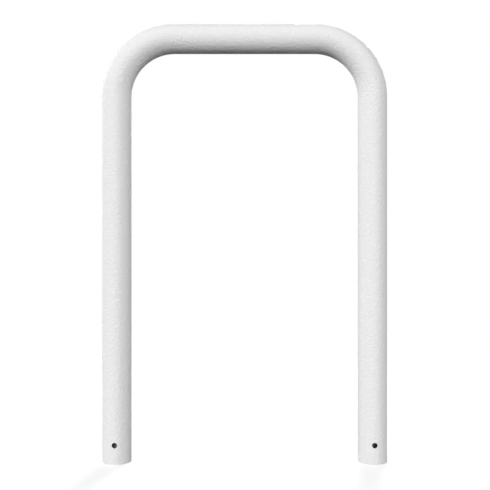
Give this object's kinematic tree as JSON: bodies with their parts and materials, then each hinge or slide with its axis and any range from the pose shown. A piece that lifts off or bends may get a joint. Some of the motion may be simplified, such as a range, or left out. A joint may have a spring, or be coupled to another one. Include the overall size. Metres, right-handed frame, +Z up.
{
  "type": "hoop barrier",
  "caption": "Upside-down U hoop barrier of bent round steel tube with a white powder coat, legs cross-drilled near the foot for anchoring in concrete, and plugged tube ends.",
  "frame": {"origin": "on the floor, midway between the two feet", "axes": "+Z up along the legs, +X across the hoop from the left leg to the right leg, +Y from the front to the back"},
  "size_m": [0.75, 0.076, 1.15],
  "materials": {
    "powder_coated_steel": "white fine-grained polyester powder coat on galvanised steel tube",
    "plug_polyethylene": "black moulded polyethylene"
  },
  "bodies": {
    "root": {"hoop_tube": "powder_coated_steel", "left_foot_plug": "plug_polyethylene", "right_foot_plug": "plug_polyethylene"}
  },
  "joints": []
}
